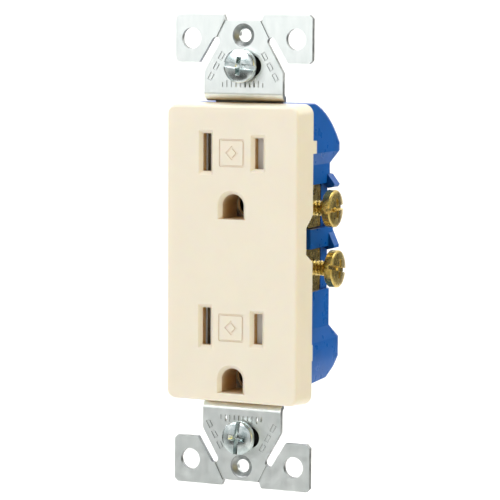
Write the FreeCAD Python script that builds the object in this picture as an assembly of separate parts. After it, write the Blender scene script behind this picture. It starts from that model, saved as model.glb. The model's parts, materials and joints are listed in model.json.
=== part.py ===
"""Duplex wall outlet, decorator style, 15 A, with tamper-resistant shutters.

Frame: X to the right, Y back into the wall box, Z up, seen from the room.
The strap's front face is y = 0, and the origin is midway between the strap's two wall-plate holes.
"""
import FreeCAD, Part
import math
import os

V = FreeCAD.Vector
X_AXIS = V(1, 0, 0)
Y_AXIS = V(0, 1, 0)
Z_AXIS = V(0, 0, 1)

# ---------------------------------------------------------------- driving dimensions (mm)
# Outlet pattern
BLADE_PITCH = 12.7
UPPER_ROW_Z = 22.56
OUTLET_PITCH = 38.9
GROUND_DROP = 11.9
ROWS = {"upper": UPPER_ROW_Z, "lower": UPPER_ROW_Z - OUTLET_PITCH}
BLADE_X = BLADE_PITCH / 2

# Face cover
FACE_Y = -5.74
RIM_Y = 1.2
FACE_HALF = (15.97, 33.0)
RIM_HALF = (16.62, 33.45)
COVER_CORNER_R = 2.0
FACE_EDGE_R = 0.7
FACE_WALL = 2.4
COVER_WALL = 1.8
SLOT_W = 2.0
NEUTRAL_SLOT_H = 8.4
HOT_SLOT_H = 6.8
SLOT_BEVEL = 0.8
GROUND_HOLE_W = 5.2
GROUND_HOLE_H = 5.5
GROUND_BEVEL = 0.85
CHUTE_WALL = 0.7
CHUTE_BACK_Y = 2.6
MARK_HALF = 3.1
MARK_LINE = 0.4
MARK_DEPTH = 0.15

# Strap
STRAP_T = 1.2
STRAP_HALF_LENGTH = 53.0
STRAP_HALF_W = 9.62
LEG_HALF_W = 8.3
EAR_HALF_W = 16.72
EAR_INNER_Z = 42.3
EAR_HOLE_X = 12.8
EAR_HOLE_Z = 47.64
EAR_HOLE_R = 2.375
EAR_CHAMFER = 0.75
PLATE_SCREW_Z = 48.4
PLATE_SCREW_R = 1.5
BOX_SCREW_Z = 41.65
SCREW_SLOT = (8.8, 4.9)
STRAP_BACK_Y = 3.6
BEND_START_Z = 35.7
BEND_R = 1.4
SPINE_HALF_W = 3.4
STAMP_DEPTH = 0.22

# Rear body
BODY_FRONT_Y = 1.35
BODY_HALF_W = 14.0
BODY_HALF_H = 33.3
BODY_FLANGE_Y = 5.8
CHEEK_HALF_W = 14.5
CHEEK_CORNER_R = 5.0
MID_HALF_W = 13.5
MID_REAR_Y = 18.5
MID_CORNER_R = 1.0
# Height and rear depth of the cheeks' sections, from the middle of the body outwards
UPPER_CHEEK = [(22.2, 24.9), (24.0, 24.9)]
UPPER_CHEEK_ARC = [(24.0, 24.9), (30.6, 17.4), (33.3, 10.9)]
LOWER_CHEEK = [(-20.4, 24.9), (-24.9, 24.9), (-27.1, 23.8), (-29.4, 20.9), (-29.8, 14.4)]
# Below this height each side of the lower cheek comes in by this much per millimetre
LOWER_TAPER_Z = -24.9
LOWER_TAPER_SLOPE = 0.26
MID_Z = (-17.4, 19.5)
SEAT_Y = STRAP_BACK_Y + STRAP_T
RECESS_X = 12.6
RECESS_Z = (-9.0, 15.1)
DIVIDER_Z = (0.8, 5.2)
DIVIDER_Y = 6.0

# Side terminals
TERMINAL_Z = {"upper": 9.85, "lower": -3.65}
TERMINAL_Y = 10.0
TERMINAL_FACE_X = 12.8
CONTACT_T = 1.0
SHANK_R = 1.75
SHANK_CLEARANCE = 0.1
TERMINAL_HEAD_R = 4.2
TERMINAL_HEAD_T = 2.3
TERMINAL_GAP = {"upper": 3.75, "lower": 4.45}
TERMINAL_SHANK = 7.8
PLATE_HALF_H = 4.4

# Blade contacts
BASE_Y = 16.5
LEAF_T = 0.6

# Ground
GROUND_SCREW_Y = 9.4
GROUND_SCREW_Z = -26.9
GROUND_STRIP_T = 0.6
PIN_POCKET_Y = 15.4
RIVET_Z = (3.0, -8.5)
RIVET_R = 1.0

# Mounting screws
BOX_HEAD_R = 3.8
BOX_HEAD_T = 2.0
BOX_HEAD_GAP = 0.9
BOX_SHANK = 15.9
BOX_NECK = 3.4
BOX_NECK_R = 1.45
RETAINER_T = 0.9

# Shutters
SHUTTER_T = 1.45
SHUTTER_FRONT_Y = -3.2
SHUTTER_STEP = 1.6
SHUTTER_HALF_H = 4.7
LANE_Z = 6.0
SPRING_R = 0.75
SPRING_X = (-6.2, 1.0)
CARRIER_Y = (0.15, 1.3)


# ---------------------------------------------------------------- shape helpers
def box(x, y, z):
    """Block between the low and high value of each pair."""
    return Part.makeBox(x[1] - x[0], y[1] - y[0], z[1] - z[0], V(x[0], y[0], z[0]))


def rod(radius, start, axis, length):
    return Part.makeCylinder(radius, length, V(*start), axis)


def point_on(axis, a, b, at):
    """Point whose two free coordinates are a, b on the plane across `axis` at `at`."""
    return {"x": V(at, a, b), "y": V(a, at, b), "z": V(a, b, at)}[axis]


def outline(axis, at, start, steps):
    """Closed wire across `axis`; a step is an end point, or (through, end) for an arc."""
    edges = []
    first = point_on(axis, *start, at)
    here = first
    for step in steps:
        if isinstance(step[0], tuple):
            through, end = (point_on(axis, *pair, at) for pair in step)
            edges.append(Part.Arc(here, through, end).toShape())
        else:
            end = point_on(axis, *step, at)
            edges.append(Part.LineSegment(here, end).toShape())
        here = end
    if here.distanceToPoint(first) > 1e-6:
        edges.append(Part.LineSegment(here, first).toShape())
    return Part.Wire(edges)


def prism(axis, span, start, *steps):
    """Solid with a constant outline across `axis`, from span[0] to span[1]."""
    face = Part.Face(outline(axis, span[0], start, steps))
    push = point_on(axis, 0, 0, span[1]) - point_on(axis, 0, 0, span[0])
    return face.extrude(push)


def rounded_rectangle(centre, half, radius, y):
    """Wire of an upright rectangle at depth y with round corners."""
    (cx, cz), (w, h), r = centre, half, radius
    k = r * (1 - math.sqrt(0.5))
    return outline("y", y, (cx - w + r, cz - h), [
        (cx + w - r, cz - h),
        ((cx + w - k, cz - h + k), (cx + w, cz - h + r)),
        (cx + w, cz + h - r),
        ((cx + w - k, cz + h - k), (cx + w - r, cz + h)),
        (cx - w + r, cz + h),
        ((cx - w + k, cz + h - k), (cx - w, cz + h - r)),
        (cx - w, cz - h + r),
        ((cx - w + k, cz - h + k), (cx - w + r, cz - h)),
    ])


def slab(wire, depth):
    """Solid that carries a wire straight back along Y."""
    return Part.Face(wire).extrude(V(0, depth, 0))


def mirror_x(shape):
    return shape.mirror(V(0, 0, 0), X_AXIS)


def mirror_z(shape):
    return shape.mirror(V(0, 0, 0), Z_AXIS)


def join(first, *others):
    return first.fuse(list(others)).removeSplitter()


def edges_where(shape, test):
    """Edges whose vertices all pass the test."""
    return [edge for edge in shape.Edges if all(test(vertex.Point) for vertex in edge.Vertexes)]


def near(value, target, tolerance=1e-3):
    return abs(value - target) < tolerance


# ---------------------------------------------------------------- face cover
def blade_slot(x, z, height):
    """Cutter for one blade slot: a bevelled mouth and a straight throat."""
    half = (SLOT_W / 2, height / 2)
    mouth_half = (half[0] + SLOT_BEVEL, half[1] + SLOT_BEVEL)
    mouth = Part.makeLoft([
        rounded_rectangle((x, z), mouth_half, 0.25, FACE_Y),
        rounded_rectangle((x, z), half, 0.2, FACE_Y + SLOT_BEVEL),
    ], True, True)
    throat = slab(rounded_rectangle((x, z), half, 0.2, FACE_Y + SLOT_BEVEL), FACE_WALL)
    return mouth.fuse(throat)


def ground_outline(z, half_w, bottom, top, y):
    """D-shaped wire: flat foot, round crown."""
    crown = z + top - half_w
    return outline("y", y, (-half_w, z + bottom), [
        (half_w, z + bottom),
        (half_w, crown),
        ((0, z + top), (-half_w, crown)),
    ])


def ground_hole(z):
    """Cutter for one ground hole: a bevelled mouth and a straight throat."""
    half_w = GROUND_HOLE_W / 2
    foot = -GROUND_HOLE_H / 2
    crown = GROUND_HOLE_H / 2
    depth = GROUND_BEVEL
    mouth = Part.makeLoft([
        ground_outline(z, half_w + GROUND_BEVEL, foot - 0.1, crown + GROUND_BEVEL, FACE_Y),
        ground_outline(z, half_w, foot, crown, FACE_Y + depth),
    ], True, True)
    throat = slab(ground_outline(z, half_w, foot, crown, FACE_Y + depth), CHUTE_BACK_Y - FACE_Y)
    return mouth.fuse(throat)


def ground_chute(z):
    """Tube behind the face that guides the ground pin past the shutters to the strap."""
    half_w = GROUND_HOLE_W / 2 + CHUTE_WALL
    reach = GROUND_HOLE_H / 2 + CHUTE_WALL
    start = FACE_Y + FACE_WALL - 0.5
    return slab(ground_outline(z, half_w, -reach, reach, start), CHUTE_BACK_Y - start)


def face_mark(z):
    """Cutter for the engraved square with a plain diamond in it, between the two blade slots."""
    outer = slab(rounded_rectangle((0, z), (MARK_HALF, MARK_HALF), 0.5, FACE_Y), MARK_DEPTH)
    half = MARK_HALF - MARK_LINE
    inner = slab(rounded_rectangle((0, z), (half, half), 0.3, FACE_Y), MARK_DEPTH)
    reach = 1.6
    core = reach - 1.5 * MARK_LINE
    span = (FACE_Y, FACE_Y + MARK_DEPTH)
    diamond = prism("y", span, (0, z - reach), (reach, z), (0, z + reach), (-reach, z))
    heart = prism("y", span, (0, z - core), (core, z), (0, z + core), (-core, z))
    return [outer.cut(inner), diamond.cut(heart)]


def snap_arm(z, width, reach):
    """Right-hand arm that clips over the body's side, with a hook that faces inwards."""
    span = (z - width / 2, z + width / 2)
    root = RIM_HALF[0] - COVER_WALL
    inner = CHEEK_HALF_W + 0.15
    outer = inner + 1.2
    return prism("z", span, (root - 0.4, -2.6), (root + 0.9, -2.6), (outer, RIM_Y), (outer, reach - 0.7),
                 ((outer - 0.2, reach - 0.2), (outer - 0.7, reach)), (inner - 0.1, reach),
                 (inner - 0.9, reach - 0.7), (inner - 0.9, reach - 1.1), (inner, reach - 1.6),
                 (inner, RIM_Y - 0.5))


SNAP_ARMS_RIGHT = [(23.8, 2.8, 5.4), (-22.1, 3.5, 3.9)]
SNAP_ARMS_LEFT = [(23.8, 2.8, 5.4), (-20.6, 2.4, 3.9)]


def face_cover():
    shell = Part.makeLoft([
        rounded_rectangle((0, 0), FACE_HALF, COVER_CORNER_R, FACE_Y),
        rounded_rectangle((0, 0), RIM_HALF, COVER_CORNER_R + 0.3, RIM_Y),
    ], True, True)
    shell = shell.makeFillet(FACE_EDGE_R, edges_where(shell, lambda p: near(p.y, FACE_Y)))
    inside_half = (RIM_HALF[0] - COVER_WALL, RIM_HALF[1] - COVER_WALL)
    inside_y = FACE_Y + FACE_WALL
    shell = shell.cut(slab(rounded_rectangle((0, 0), inside_half, 1.0, inside_y), RIM_Y - inside_y + 1))
    shell = join(shell, *[ground_chute(z - GROUND_DROP) for z in ROWS.values()])
    for z in ROWS.values():
        cutters = [
            blade_slot(-BLADE_X, z, NEUTRAL_SLOT_H),
            blade_slot(BLADE_X, z, HOT_SLOT_H),
            ground_hole(z - GROUND_DROP),
        ]
        shell = shell.cut(cutters + face_mark(z))
    # Rim notches that give a screwdriver room at the break-off links, one on each side
    notch = prism("x", (RIM_HALF[0] - COVER_WALL - 1, RIM_HALF[0] + 1), (RIM_Y + 1, 10.0), (RIM_Y, 9.0),
                  (-1.7, 6.3), (-1.7, 0.4), (RIM_Y, -1.5), (RIM_Y + 1, -2.5))
    shell = shell.cut([notch, mirror_x(notch)])
    # Short ribs that locate the two shutter carriers
    ribs = []
    for z in ROWS.values():
        for edge in (-8.9, 8.2):
            for side in (-1, 1):
                x = sorted((side * 8.0, side * (inside_half[0] + 0.3)))
                ribs.append(box(x, (inside_y - 0.2, 0.9), (z + edge, z + edge + 0.7)))
    arms = [snap_arm(*arm) for arm in SNAP_ARMS_RIGHT]
    arms += [mirror_x(snap_arm(*arm)) for arm in SNAP_ARMS_LEFT]
    return join(shell, *ribs, *arms)


# ---------------------------------------------------------------- mounting strap
def strap_end():
    """Upper end plate with its two break-off plaster ears."""
    top = 51.65
    cut = EAR_CHAMFER
    plate = prism("y", (0, STRAP_T), (-STRAP_HALF_W, BEND_START_Z), (STRAP_HALF_W, BEND_START_Z),
                  (STRAP_HALF_W, 40.2), (6.0, 46.5), ((6.32, 47.87), (7.6, 47.6)), (10.9, EAR_INNER_Z),
                  (EAR_HALF_W - cut, EAR_INNER_Z), (EAR_HALF_W, EAR_INNER_Z + cut),
                  (EAR_HALF_W, STRAP_HALF_LENGTH - cut), (EAR_HALF_W - cut, STRAP_HALF_LENGTH),
                  (4.9, STRAP_HALF_LENGTH), (4.4, top), (-4.4, top), (-4.9, STRAP_HALF_LENGTH),
                  (cut - EAR_HALF_W, STRAP_HALF_LENGTH), (-EAR_HALF_W, STRAP_HALF_LENGTH - cut),
                  (-EAR_HALF_W, EAR_INNER_Z + cut), (cut - EAR_HALF_W, EAR_INNER_Z), (-10.9, EAR_INNER_Z),
                  (-7.6, 47.6), ((-6.32, 47.87), (-6.0, 46.5)), (-STRAP_HALF_W, 40.2))
    collar = rod(2.3, (0, STRAP_T - 0.2, PLATE_SCREW_Z), Y_AXIS, 1.3)
    plate = join(plate, collar)
    slot_half = (SCREW_SLOT[0] / 2, SCREW_SLOT[1] / 2)
    cutters = [
        rod(PLATE_SCREW_R, (0, -1, PLATE_SCREW_Z), Y_AXIS, 5),
        Part.makeCone(2.65, PLATE_SCREW_R, 1.0, V(0, 0, PLATE_SCREW_Z), Y_AXIS),
        slab(rounded_rectangle((0, BOX_SCREW_Z), slot_half, slot_half[1] - 0.01, -0.5), 3),
    ]
    for side in (-1, 1):
        cutters.append(rod(EAR_HOLE_R, (side * EAR_HOLE_X, -1, EAR_HOLE_Z), Y_AXIS, 5))
        cutters.append(score_groove(side))
    cutters += stamped_bars()
    return plate.cut(cutters)


def score_groove(side):
    """Cutter for the snap-off score between the tongue and one ear."""
    start = V(side * 6.4, 0, 47.9)
    end = V(side * 4.4, 0, 51.7)
    along = end - start
    across = V(along.z, 0, -along.x).normalize() * 0.3
    corners = [start - across, start + across, end + across, end - across]
    face = Part.Face(Part.makePolygon(corners + corners[:1]))
    return face.extrude(V(0, 0.35, 0))


def stamped_bars():
    """Cutters for plain stamped bars and blank frames: rating marks without any lettering."""
    bars = []
    for index in range(10):
        x = -5.2 + 1.1 * index
        height = 1.5 if index % 3 else 1.0
        bars.append(box((x, x + 0.4), (0, STAMP_DEPTH), (36.9, 36.9 + height)))
    lean = math.degrees(math.atan2(9.6 - 6.0, 46.5 - 40.2))
    for side in (-1, 1):
        for index in range(3):
            z = 39.2 + 2.3 * index
            x = side * (7.9 - 1.3 * index)
            frame = slab(rounded_rectangle((0, 0), (0.55, 0.95), 0.15, 0), STAMP_DEPTH)
            blank = slab(rounded_rectangle((0, 0), (0.3, 0.7), 0.1, 0), STAMP_DEPTH)
            mark = frame.cut(blank).rotated(V(0, 0, 0), Y_AXIS, -side * lean)
            bars.append(mark.translated(V(x, 0, z)))
    return bars


def joggle():
    """The two bends that take the strap back from the wall plane to its seat on the body."""
    outer = BEND_R + STRAP_T / 2
    inner = BEND_R - STRAP_T / 2
    low_z = BEND_START_Z - 2 * BEND_R
    back_y = STRAP_BACK_Y + STRAP_T
    first = (outer, BEND_START_Z)
    second = (STRAP_BACK_Y - inner, low_z)
    diag = math.sqrt(0.5)
    bend = prism("x", (-STRAP_HALF_W, STRAP_HALF_W), (0, BEND_START_Z),
                 ((first[0] - outer * diag, first[1] - outer * diag), (first[0], first[1] - outer)),
                 (second[0], second[1] + inner),
                 ((second[0] + inner * diag, second[1] + inner * diag), (STRAP_BACK_Y, low_z)),
                 (back_y, low_z),
                 ((second[0] + outer * diag, second[1] + outer * diag), (second[0], second[1] + outer)),
                 (first[0], first[1] - inner),
                 ((first[0] - inner * diag, first[1] - inner * diag), (STRAP_T, BEND_START_Z)))
    sides = [box(x, (first[0], back_y + 1), (low_z - 1, BEND_START_Z + 1))
             for x in ((LEG_HALF_W, STRAP_HALF_W + 1), (-STRAP_HALF_W - 1, -LEG_HALF_W))]
    return bend.cut(sides)


def strap_spine():
    """Middle of the strap: narrow beside the blades, wide around each ground pin."""
    span = (STRAP_BACK_Y, STRAP_BACK_Y + STRAP_T)
    reach = BEND_START_Z - 2 * BEND_R
    spine = box((-SPINE_HALF_W, SPINE_HALF_W), span, (-reach, reach))
    ends = [box((-LEG_HALF_W, LEG_HALF_W), span, (29.6, reach)),
            box((-LEG_HALF_W, LEG_HALF_W), span, (-reach, -31.6))]
    for z in ROWS.values():
        pin_z = z - GROUND_DROP
        ends.append(box((-6.2, 6.2), span, (pin_z - 4.6, pin_z + 4.4)))
    spine = join(spine, *ends)
    cutters = [rod(3.3, (0, 0, z - GROUND_DROP), Y_AXIS, 8) for z in ROWS.values()]
    cutters += [rod(RIVET_R, (0, 0, z), Y_AXIS, 8) for z in RIVET_Z]
    return spine.cut(cutters)


def ground_lug():
    """Arm of the strap that turns back beside the body and takes the ground screw."""
    z = (GROUND_SCREW_Z - 3.6, GROUND_SCREW_Z + 3.6)
    x = -TERMINAL_FACE_X
    lug = prism("z", z, (-6.0, STRAP_BACK_Y), (-6.0, STRAP_BACK_Y + STRAP_T),
                (x + 2.2, STRAP_BACK_Y + STRAP_T),
                ((x + 1.49, STRAP_BACK_Y + STRAP_T + 0.29), (x + STRAP_T, STRAP_BACK_Y + STRAP_T + 1)),
                (x + STRAP_T, 14.4), (x, 14.4), (x, STRAP_BACK_Y + 2.2),
                ((x + 0.64, STRAP_BACK_Y + 0.64), (x + 2.2, STRAP_BACK_Y)))
    return lug.cut(rod(SHANK_R + SHANK_CLEARANCE, (x - 1, GROUND_SCREW_Y, GROUND_SCREW_Z), X_AXIS, 3))


def mounting_strap():
    end = strap_end()
    bend = joggle()
    return join(strap_spine(), end, mirror_z(end), bend, mirror_z(bend), ground_lug())


# ---------------------------------------------------------------- rear body
def cross_section(z, half_w, rear_y, radius):
    """Level outline of the body with its two rear corners rounded."""
    k = radius * (1 - math.sqrt(0.5))
    return outline("z", z, (-half_w, BODY_FRONT_Y), [
        (half_w, BODY_FRONT_Y),
        (half_w, rear_y - radius),
        ((half_w - k, rear_y - k), (half_w - radius, rear_y)),
        (radius - half_w, rear_y),
        ((k - half_w, rear_y - k), (-half_w, rear_y - radius)),
    ])


def cheek(mid_z, sections):
    """Deep housing behind one outlet: it flares out of the middle and slopes in to its end."""
    wires = [cross_section(mid_z, MID_HALF_W, MID_REAR_Y, MID_CORNER_R)]
    for z, rear_y in sections:
        half_w = CHEEK_HALF_W - LOWER_TAPER_SLOPE * max(0.0, LOWER_TAPER_Z - z)
        wires.append(cross_section(z, half_w, rear_y, CHEEK_CORNER_R))
    return Part.makeLoft(wires, True, True)


def body_blank():
    """Outer form: two cheeks, the shallower middle between them and the flange under the cover."""
    middle = Part.Face(cross_section(MID_Z[0], MID_HALF_W, MID_REAR_Y, MID_CORNER_R))
    middle = middle.extrude(V(0, 0, MID_Z[1] - MID_Z[0]))
    flange = box((-BODY_HALF_W, BODY_HALF_W), (BODY_FRONT_Y, BODY_FLANGE_Y), (-BODY_HALF_H, BODY_HALF_H))
    divider = box((-BODY_HALF_W, BODY_HALF_W), (DIVIDER_Y, MID_REAR_Y), DIVIDER_Z)
    arc = Part.Arc(*[V(z, y, 0) for z, y in UPPER_CHEEK_ARC]).toShape()
    shoulder = [(point.x, point.y) for point in arc.discretize(9)[1:]]
    upper = cheek(MID_Z[1], UPPER_CHEEK + shoulder)
    lower = cheek(MID_Z[0], LOWER_CHEEK)
    return join(middle, flange, divider, upper, lower)


def side_relief():
    """Cutters for the right side: the two terminal recesses and the windows for the terminal plates."""
    margin = CHEEK_HALF_W + 1
    front = BODY_FRONT_Y - 1
    low, high = RECESS_Z
    inner_x = TERMINAL_FACE_X - CONTACT_T - 0.1
    window_y = 14.8
    return [
        box((RECESS_X, margin), (front, MID_REAR_Y + 1), (DIVIDER_Z[1], high)),
        box((RECESS_X, margin), (front, MID_REAR_Y + 1), (low, DIVIDER_Z[0])),
        box((inner_x, margin), (front, window_y), (DIVIDER_Z[1], high - 0.1)),
        box((inner_x, margin), (front, window_y), (low + 0.1, DIVIDER_Z[0])),
        box((inner_x, margin), (front, DIVIDER_Y), DIVIDER_Z),
    ]


def wire_fins():
    """Right-hand fins that keep a stripped wire under its terminal screw."""
    span = (16.2, MID_REAR_Y + 0.6)
    upper = prism("y", span, (RECESS_X - 0.4, 17.4), (13.66, 17.0), (15.4, 14.75), (15.0, 14.15),
                  (13.7, 13.9), (RECESS_X - 0.4, 15.3))
    lower = prism("y", span, (RECESS_X - 0.4, 6.3), (13.5, 4.9), (15.3, 0.9), (15.25, 0.35), (13.8, -0.05),
                  (RECESS_X - 0.4, 0.6))
    return [upper, lower]


def contact_pockets():
    """Cutters for the right-hand row of blade pockets and the bus channel that joins them."""
    inner_x = TERMINAL_FACE_X - CONTACT_T - 0.1
    wall_x = TERMINAL_FACE_X + 0.05
    pockets = []
    for z in ROWS.values():
        pockets.append(box((3.9, wall_x), (SEAT_Y, BASE_Y + 0.85), (z - 4.7, z + 4.7)))
    pockets.append(box((inner_x, wall_x), (SEAT_Y, 14.2), (14.0, 18.0)))
    pockets.append(box((inner_x, wall_x), (SEAT_Y, 14.2), (-11.8, -8.0)))
    # Cores that keep the two deep cheeks hollow
    pockets.append(box((5.4, 10.6), (SEAT_Y, 22.8), (21.6, 25.4)))
    pockets.append(box((5.9, 10.6), (SEAT_Y, 23.2), (-24.6, -20.2)))
    # Chamber behind each terminal plate: room for the screw's end and the push-in clamp
    pockets.append(box((4.8, TERMINAL_FACE_X - 0.3), (SEAT_Y, 15.6), (5.4, 15.8)))
    pockets.append(box((4.8, TERMINAL_FACE_X - 0.3), (SEAT_Y, 15.6), (-9.6, 0.6)))
    return pockets


def push_in_hole(z):
    """Right-hand cutters at the back: a funnelled wire hole and the release slot beside it."""
    x = 10.3
    funnel = Part.makeCone(1.9, 1.2, 1.2, V(x, MID_REAR_Y, z), V(0, -1, 0))
    hole = rod(1.2, (x, MID_REAR_Y, z), V(0, -1, 0), 5)
    release = box((6.6, 7.8), (MID_REAR_Y - 4, MID_REAR_Y + 1), (z - 1.5, z + 1.5))
    return [funnel, hole, release]


PUSH_IN_Z = {"upper": 13.2, "lower": -7.0}


def pin_barrel():
    """Bulge under the body that houses the lower ground grip."""
    low = ROWS["lower"] - GROUND_DROP - 4.0
    return prism("y", (BODY_FRONT_Y, PIN_POCKET_Y + 1.0), (-5.4, -26.0), (-5.4, low + 1.2),
                 ((-5.05, low + 0.35), (-4.2, low)), (4.2, low), ((5.05, low + 0.35), (5.4, low + 1.2)),
                 (5.4, -26.0))


def inner_wall():
    """Right-hand wall that stands between a terminal strip and the middle of the body."""
    low, high = RECESS_Z
    back = SEAT_Y + 0.1
    long_part = box((10.5, 11.5), (BODY_FRONT_Y, back), (low, high))
    tall_part = box((10.5, 11.5), (-2.9, back), (-4.5, 12.0))
    return long_part.fuse(tall_part)


def rear_body():
    body = join(body_blank(), pin_barrel())
    interior = [
        box((-12.6, 12.6), (BODY_FRONT_Y - 1, SEAT_Y), (-31.9, 31.9)),
        box((-9.9, 9.9), (BODY_FRONT_Y - 1, SEAT_Y), (-35, 35)),
        box((-3.3, 3.3), (SEAT_Y, SEAT_Y + GROUND_STRIP_T + 0.1), (-33.0, 15.5)),
    ]
    for z in ROWS.values():
        pin_z = z - GROUND_DROP
        interior.append(box((-4.6, 4.6), (SEAT_Y, SEAT_Y + GROUND_STRIP_T + 0.1), (pin_z - 3.8, pin_z + 3.8)))
        interior.append(box((-4.2, 4.2), (SEAT_Y, PIN_POCKET_Y), (pin_z - 2.9, pin_z + 2.9)))
    interior += [rod(2.2, (0, SEAT_Y, z), Y_AXIS, 1.4) for z in RIVET_Z]
    right = side_relief() + contact_pockets()
    for z in PUSH_IN_Z.values():
        right += push_in_hole(z)
    cutters = interior + right + [mirror_x(cutter) for cutter in right]
    # Side pocket for the ground lug and its screw
    lug_z = (GROUND_SCREW_Z - 4.6, GROUND_SCREW_Z + 4.6)
    cutters.append(box((-CHEEK_HALF_W - 1, 2.4 - TERMINAL_FACE_X), (BODY_FRONT_Y - 1, 14.9), lug_z))
    cutters.append(box((-12.0, -6.0), (GROUND_SCREW_Y - 2.2, GROUND_SCREW_Y + 2.2),
                       (GROUND_SCREW_Z - 2.2, GROUND_SCREW_Z + 2.2)))
    # Catches for the cover's snap arms
    for arms, side in ((SNAP_ARMS_RIGHT, 1), (SNAP_ARMS_LEFT, -1)):
        for z, width, reach in arms:
            x = sorted((side * (CHEEK_HALF_W - 1.2), side * (CHEEK_HALF_W + 1)))
            cutters.append(box(x, (reach - 1.9, reach + 0.3), (z - width / 2 - 0.2, z + width / 2 + 0.2)))
    # Shallow gauge on the back that shows how much insulation to strip
    cutters.append(box((-0.6, 0.6), (MID_REAR_Y - 0.5, MID_REAR_Y + 1), (-4.5, 10.0)))
    cutters += [box((-1.8, 1.8), (MID_REAR_Y - 0.5, MID_REAR_Y + 1), (z, z + 0.8)) for z in (-5.3, 10.0)]
    body = body.cut(cutters)
    right = wire_fins() + [inner_wall()]
    return join(body, *right, *[mirror_x(piece) for piece in right])


# ---------------------------------------------------------------- current-carrying strips
def blade_contact(z, height):
    """Right-hand contact: a base across the pocket and two sprung leaves that grip the blade."""
    span = (z - height / 2, z + height / 2)
    outer_x = TERMINAL_FACE_X
    t = LEAF_T
    base = box((4.4, outer_x), (BASE_Y, BASE_Y + CONTACT_T - 0.2), span)
    side = box((outer_x - CONTACT_T, outer_x), (6.0, BASE_Y + 0.5), span)
    leaves = []
    for sign in (-1, 1):
        foot = BLADE_X + sign * 1.6
        waist = BLADE_X + sign * 0.75
        mouth = BLADE_X + sign * 1.7
        leaves.append(prism("z", span, (foot, BASE_Y + 0.2), (waist, 10.0), (mouth, 7.0),
                            (mouth + sign * t, 7.0), (waist + sign * t, 10.0), (foot + sign * t, BASE_Y + 0.2)))
    return [base, side] + leaves


def contact_strip(height):
    """Right-hand strip: both terminals, both blade contacts and the break-off link."""
    x = (TERMINAL_FACE_X - CONTACT_T, TERMINAL_FACE_X)
    pieces = [box(x, (5.8, 14.0), (z - PLATE_HALF_H, z + PLATE_HALF_H)) for z in TERMINAL_Z.values()]
    pieces.append(box(x, (6.0, 13.8), (14.0, ROWS["upper"])))
    pieces.append(box(x, (6.0, 13.8), (ROWS["lower"], -8.0)))
    pieces.append(box(x, (2.9, 6.2), (5.35, 8.4)))
    pieces.append(box(x, (2.9, 6.2), (-2.4, 0.65)))
    link_x = (x[0] + 0.15, x[1] - 0.15)
    pieces.append(box(link_x, (2.9, 4.9), (0.5, 5.5)))
    for z in ROWS.values():
        pieces += blade_contact(z, height)
    strip = join(pieces[0], *pieces[1:])
    cutters = []
    for z in TERMINAL_Z.values():
        cutters.append(rod(SHANK_R + SHANK_CLEARANCE, (x[0] - 1, TERMINAL_Y, z), X_AXIS, 3))
        cutters += serrations(z)
    cutters.append(rod(0.5, (x[0] - 1, 3.9, 3.0), X_AXIS, 3))
    return strip.cut(cutters)


def serrations(z):
    """Cutters for the fine vertical grooves above and below one screw hole."""
    grooves = []
    for index in range(5):
        for sign in (-1, 1):
            centre = z + sign * (2.35 + 0.42 * index)
            x = TERMINAL_FACE_X
            grooves.append(prism("y", (6.6, 13.4), (x - 0.18, centre), (x + 0.05, centre - 0.17),
                                 (x + 0.05, centre + 0.17)))
    return grooves


def ground_contact_strip():
    """Bronze strip behind the strap with a two-leaf grip at each ground pin."""
    back = SEAT_Y + GROUND_STRIP_T
    pieces = [box((-2.6, 2.6), (SEAT_Y, back), (-31.2, 13.8))]
    for z in ROWS.values():
        pin_z = z - GROUND_DROP
        span = (pin_z - 2.4, pin_z + 2.4)
        pieces.append(box((-4.3, 4.3), (SEAT_Y, back), (pin_z - 3.6, pin_z + 3.6)))
        for sign in (-1, 1):
            t = sign * 0.5
            pieces.append(prism("z", span, (sign * 3.4, SEAT_Y + 0.1), (sign * 2.3, 10.0), (sign * 2.9, 12.8),
                                (sign * 2.9 + t, 12.8), (sign * 2.3 + t, 10.0),
                                (sign * 3.4 + t, SEAT_Y + 0.1)))
    strip = join(pieces[0], *pieces[1:])
    cutters = [rod(2.9, (0, SEAT_Y - 1, z - GROUND_DROP), Y_AXIS, 2) for z in ROWS.values()]
    cutters += [rod(RIVET_R, (0, SEAT_Y - 1, z), Y_AXIS, 3) for z in RIVET_Z]
    return strip.cut(cutters)


def ground_strip_rivets():
    """Two rivets that clinch the ground strip to the strap."""
    back = SEAT_Y + GROUND_STRIP_T
    rivets = []
    for z in RIVET_Z:
        head = Part.makeCone(1.2, 1.8, 0.6, V(0, STRAP_BACK_Y - 0.6, z), Y_AXIS)
        tail = Part.makeCone(1.7, 1.3, 0.5, V(0, back, z), Y_AXIS)
        shank = rod(RIVET_R, (0, STRAP_BACK_Y - 0.1, z), Y_AXIS, back - STRAP_BACK_Y + 0.2)
        rivets.append(join(head, shank, tail))
    return Part.makeCompound(rivets)


def wire_clamp(z):
    """Right-hand push-in clamp: a steel C whose free end bites the wire against the terminal plate."""
    t = 0.4
    back_x = 7.0
    return prism("z", (z - 1.6, z + 1.6), (11.6, 12.3), (11.6, 12.3 + t), (back_x + 0.5, 12.3 + t),
                 (back_x + t, 12.4 + t), (back_x + t, 14.6), (10.2, 13.6), (10.35, 14.0),
                 (back_x + 0.2, 15.3), (back_x, 15.1), (back_x, 12.8), (back_x + 0.5, 12.3))


# ---------------------------------------------------------------- screws
def drive_recess(radius, depth):
    """Combination recess in the head plane z = 0, cut downwards: a slot and a cross."""
    slot = box((-radius - 1, radius + 1), (-0.45, 0.45), (-depth * 0.75, 1))
    arm = box((-radius * 0.55, radius * 0.55), (-0.42, 0.42), (-depth, 1))
    cross = box((-0.42, 0.42), (-radius * 0.55, radius * 0.55), (-depth, 1))
    return [slot, arm, cross]


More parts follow.
